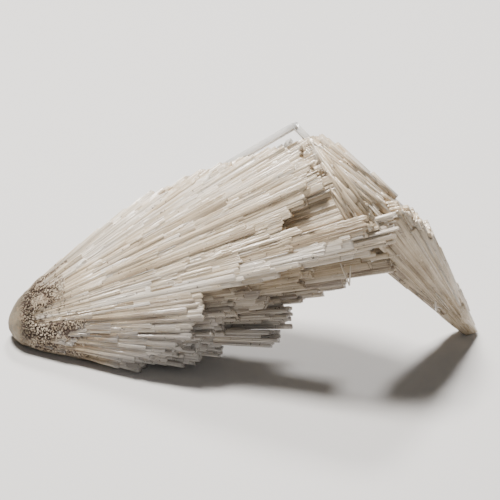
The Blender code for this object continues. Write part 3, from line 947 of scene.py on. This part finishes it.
def milky_scolecite(name, transmission, clear_transmission):
    """Milky needles, streaked along their length, that turn clear towards some tips."""
    nodes = Nodes(name)
    grain = nodes.attribute("grain", "Vector")
    tone = nodes.attribute("tone", "Fac")
    clarity = nodes.attribute("clarity", "Fac")
    streaks = nodes.noise(nodes.stretched(grain, STREAKS), 1.0, 4.0, 0.7)
    clouds = nodes.noise(nodes.position(), CLOUDS, 3.0)
    shade = nodes.math("ADD", tone, nodes.remap(streaks, 0.35, 0.65, -0.25, 0.25))
    shade = nodes.math("ADD", shade, nodes.remap(clouds, 0.3, 0.7, -0.16, 0.16))
    # Painted glints: white flecks that lighten the colour where light would glint off the needles.
    painted_glints = nodes.noise(nodes.stretched(grain, PAINTED_GLINTS), 1.0, 3.0, 0.6)
    shade = nodes.math("ADD", shade, nodes.remap(painted_glints, 0.62, 0.7, 0.0, 0.5), True)
    colour = nodes.ramp(shade, ((0.0, STAINED), (0.25, BEIGE), (0.6, CREAM), (1.0, FROSTED)))
    colour = nodes.mix(nodes.math("MULTIPLY", clarity, 0.7), colour, CLEAR_TIP)
    near_root = nodes.remap(nodes.distance(nodes.position(), ROOT_PLACE), 0.005, 0.021, 1.0, 0.0)
    lines = nodes.noise(nodes.stretched(grain, STAIN_LINES), 1.0, 2.0)
    lower_end = nodes.remap(nodes.distance(nodes.position(), ROOT_PLACE), 0.01, 0.045, 1.0, 0.0)
    lines = nodes.math("MULTIPLY", nodes.remap(lines, 0.6, 0.7, 0.0, 0.6), lower_end)
    colour = nodes.mix(lines, colour, STAINED)
    specks = nodes.noise(nodes.position(), SPECKS, 3.0, 0.7)
    specks = nodes.remap(nodes.math("ADD", specks, nodes.math("MULTIPLY", near_root, 0.2)), 0.64, 0.7)
    colour = nodes.mix(nodes.math("MULTIPLY", specks, 0.8), colour, SPECK)
    nodes.give("Base Color", colour)
    see_through = nodes.remap(clarity, 0.0, 1.0, transmission, clear_transmission)
    nodes.give("Transmission Weight", see_through)
    nodes.give("Roughness", nodes.remap(streaks, 0.25, 0.75, 0.07, 0.3))
    nodes.give("IOR", SCOLECITE_IOR)
    nodes.give("Coat Weight", COAT)
    nodes.give("Coat Roughness", COAT_ROUGHNESS)
    nodes.bump(nodes.noise(nodes.stretched(grain, RIBS), 1.0, 3.0, 0.65), 0.8, 0.0004)
    return nodes.material


def clear_scolecite():
    """Water-clear needles with faint frosting."""
    nodes = Nodes("clear_scolecite")
    grain = nodes.attribute("grain", "Vector")
    frost = nodes.noise(nodes.stretched(grain, FROST), 1.0, 3.0)
    nodes.give("Base Color", nodes.mix(frost, WATER_CLEAR, FAINT_FROST))
    nodes.give("Roughness", nodes.remap(frost, 0.3, 0.7, 0.03, 0.22))
    nodes.give("Transmission Weight", 0.5)
    nodes.give("IOR", SCOLECITE_IOR)
    nodes.bump(frost, 0.2, 0.0002)
    return nodes.material


def root_rind():
    """Weathered scolecite, pale and dull, with brown in its pits and painted shade in the cavity."""
    nodes = Nodes("root_rind")
    pit = nodes.attribute("pit", "Fac")
    grains = nodes.noise(nodes.position(), GRAINS, 3.0, 0.7)
    patches = nodes.noise(nodes.position(), PATCHES, 3.0)
    worn = nodes.mix(nodes.remap(patches, 0.35, 0.65), RIND, PALE_RIND)
    pale = nodes.mix(nodes.remap(patches, 0.35, 0.65), DULL_CRUST, PALE_CRUST)
    colour = nodes.mix(nodes.attribute("tone", "Fac"), worn, pale)
    colour = nodes.mix(nodes.remap(grains, 0.52, 0.62, 0.0, 0.8), colour, STAINED)
    # Dark in the pits: brown in the small pits, and painted shade in the cavity.
    colour = nodes.mix(nodes.remap(pit, 0.02, 0.4), colour, SPECK)
    nodes.give("Base Color", colour)
    nodes.give("Roughness", nodes.remap(grains, 0.3, 0.7, 0.45, 0.8))
    nodes.give("IOR", SCOLECITE_IOR)
    nodes.bump(grains, 0.6, 0.0003)
    return nodes.material


def stage_material(name, colour):
    nodes = Nodes(name)
    nodes.give("Base Color", (*colour, 1.0))
    nodes.give("Roughness", 0.8)
    return nodes.material


# Camera, floor and light

PIXELS_PER_MM = 4.27
IMAGE_MIDDLE_MM = (1.6, 24.0)  # across and up in the image plane, from the origin
IMAGE_PIXELS = 500.0
SENSOR_WIDTH = 36.0
CAMERA_DISTANCE = 1.6
ELEVATION = math.radians(30.0)
FLOOR_REACH = 3.0
FLOOR_COLOUR = (0.62, 0.61, 0.60)
SKY_COLOUR = (1.0, 0.98, 0.96, 1.0)
SKY_STRENGTH = 0.09
LIGHTS_AIM = Vector((0.0, 0.0, 0.02))
# Name, place, size, power and colour.
LIGHTS = (
    ("key", (-0.15, 0.1, 0.67), 0.18, 12.0, (1.0, 0.97, 0.93)),
    ("rim", (0.05, 0.42, 0.6), 0.12, 5.0, (1.0, 0.98, 0.96)),
    ("fill", (0.4, -0.8, 0.5), 0.5, 0.8, (1.0, 1.0, 1.0)),
)


def add_camera():
    up = Vector((0.0, math.sin(ELEVATION), math.cos(ELEVATION)))
    back = Vector((0.0, -math.cos(ELEVATION), math.sin(ELEVATION)))
    target = (Vector((1.0, 0.0, 0.0)) * IMAGE_MIDDLE_MM[0] + up * IMAGE_MIDDLE_MM[1]) * MM
    data = bpy.data.cameras.new("camera")
    data.sensor_width = SENSOR_WIDTH
    data.lens = SENSOR_WIDTH * CAMERA_DISTANCE / (IMAGE_PIXELS / PIXELS_PER_MM * MM)
    data.clip_end = 10.0
    camera = bpy.data.objects.new("camera", data)
    camera.location = target + back * CAMERA_DISTANCE
    camera.rotation_euler = (math.pi / 2.0 - ELEVATION, 0.0, 0.0)
    bpy.context.collection.objects.link(camera)
    bpy.context.scene.camera = camera


def add_light(name, location, size, power, colour):
    data = bpy.data.lights.new(name, "AREA")
    data.size = size
    data.energy = power
    data.color = colour
    light = bpy.data.objects.new(name, data)
    light.location = location
    light.rotation_euler = (LIGHTS_AIM - Vector(location)).to_track_quat("-Z", "Y").to_euler()
    bpy.context.collection.objects.link(light)


def add_stage():
    mesh = bpy.data.meshes.new("floor")
    corners = [(x * FLOOR_REACH, y * FLOOR_REACH, 0) for x, y in ((-1, -1), (1, -1), (1, 1), (-1, 1))]
    mesh.from_pydata(corners, [], [(0, 1, 2, 3)])
    mesh.materials.append(stage_material("floor", FLOOR_COLOUR))
    floor = bpy.data.objects.new("floor", mesh)
    bpy.context.collection.objects.link(floor)
    world = bpy.data.worlds.new("studio")
    world.use_nodes = True
    world.node_tree.nodes["Background"].inputs["Color"].default_value = SKY_COLOUR
    world.node_tree.nodes["Background"].inputs["Strength"].default_value = SKY_STRENGTH
    bpy.context.scene.world = world
    for light in LIGHTS:
        add_light(*light)


# How much light goes through milky needles and through their clear ends.
MILKY = (0.3, 0.65)
OPAQUE = (0.0, 0.0)
FRONT_FROM = 0.2  # the face from which needles go into the front piece
SPRAY_BODY = (0.8, 0.72)  # size and length, as shares of the sheaf's, as for the blade's
BLADE_BODY = (1.05, 0.95)
# How many terraces and laths there are, each with their layer, and the terraces' rises, lengths and widths.
JOINED_TERRACES, JOINED_PLATES = ((60, 0.8), (40, -0.8)), (180, 0.85)
JOINED_GROWTH = ((-1.0, 1.05), (4.0, 16.0), (0.3, 0.8))
SPRAY_SIDES = (
    ("front", ((260, 0.9), (200, 0.6), (120, 0.3)), (600, 0.9)),
    ("back", ((220, -0.9), (120, -0.6)), (600, -0.9)),
)
SPRAY_GROWTH = ((-0.95, 0.95), (7.0, 36.0), (0.4, 1.1))
PLATE_RISES = (-0.9, 0.9)
HOLLOW_NEEDLES, HOLLOW_LATHS, SEAM_NEEDLES, BAND_NEEDLES = 420, 110, 110, 60


def main():
    add_camera()
    add_stage()
    milky = milky_scolecite("milky_scolecite", *MILKY)
    core = milky_scolecite("milky_core", *OPAQUE)
    clear, rind = clear_scolecite(), root_rind()
    layout = random.Random(SEED)
    fine = random.Random(SEED + 1)
    spray, blade, ridge = (solid_needles(sheaf, layout) for sheaf in (SPRAY, BLADE, RIDGE))

    front, back = Needles(), Needles()
    for solid in spray + edge_needles():
        rise, face = solid[:2]
        needles = front if face > FRONT_FROM else back
        add_bundle(needles, SPRAY, solid, fine, spray_tone_and_shading(rise, face), clear_from(SPRAY, rise))
    front.object("spray_front_needles", milky)
    back.object("spray_back_needles", milky)
    # The spray's body is darker than its needles: painted shade, which shows in the gaps between them.
    body("spray_body", SPRAY, *SPRAY_BODY, core, 0.2)

    joined = (("blade", BLADE, blade, BLADE_TONE_AND_SHADING), ("ridge", RIDGE, ridge, RIDGE_TONE_AND_SHADING))
    for name, sheaf, solids, tones in joined:
        tone_and_shading_of = tone_with_painted_shading(*tones)
        needles = Needles()
        for solid in solids:
            add_bundle(needles, sheaf, solid, fine, tone_and_shading_of(*solid[:2]), ALL_MILKY)
        for count, layer in JOINED_TERRACES:
            add_overgrowth(needles, sheaf, fine, count, layer, *JOINED_GROWTH, tone_and_shading_of)
        add_plates(needles, sheaf, fine, *JOINED_PLATES, PLATE_RISES, tone_and_shading_of)
        if sheaf is BLADE:
            add_fragment(needles)
            add_comb(needles, fine)
        else:
            add_ridge_edge(needles, fine)
        needles.object(name + "_needles", milky)
    blade_tip(milky)
    body("blade_body", BLADE, *BLADE_BODY, core, 0.45)

    for name, terraces, plates in SPRAY_SIDES:
        grown = Needles()
        for count, layer in terraces:
            add_overgrowth(grown, SPRAY, fine, count, layer, *SPRAY_GROWTH, spray_tone_and_shading)
        add_plates(grown, SPRAY, fine, *plates, PLATE_RISES, spray_tone_and_shading)
        grown.object(f"spray_{name}_overgrowth", milky)
    crossing = Needles()
    add_hollow_needles(crossing, fine, HOLLOW_NEEDLES)
    add_hollow_laths(crossing, fine, HOLLOW_LATHS)
    add_seam(crossing, fine, SEAM_NEEDLES)
    add_band(crossing, fine, BAND_NEEDLES)
    add_stray_needles(crossing)
    crossing.object("hollow_needles", milky)

    root_knob(rind)
    root_crust(rind)
    window_bars(clear)
    window_crystals(clear)


main()
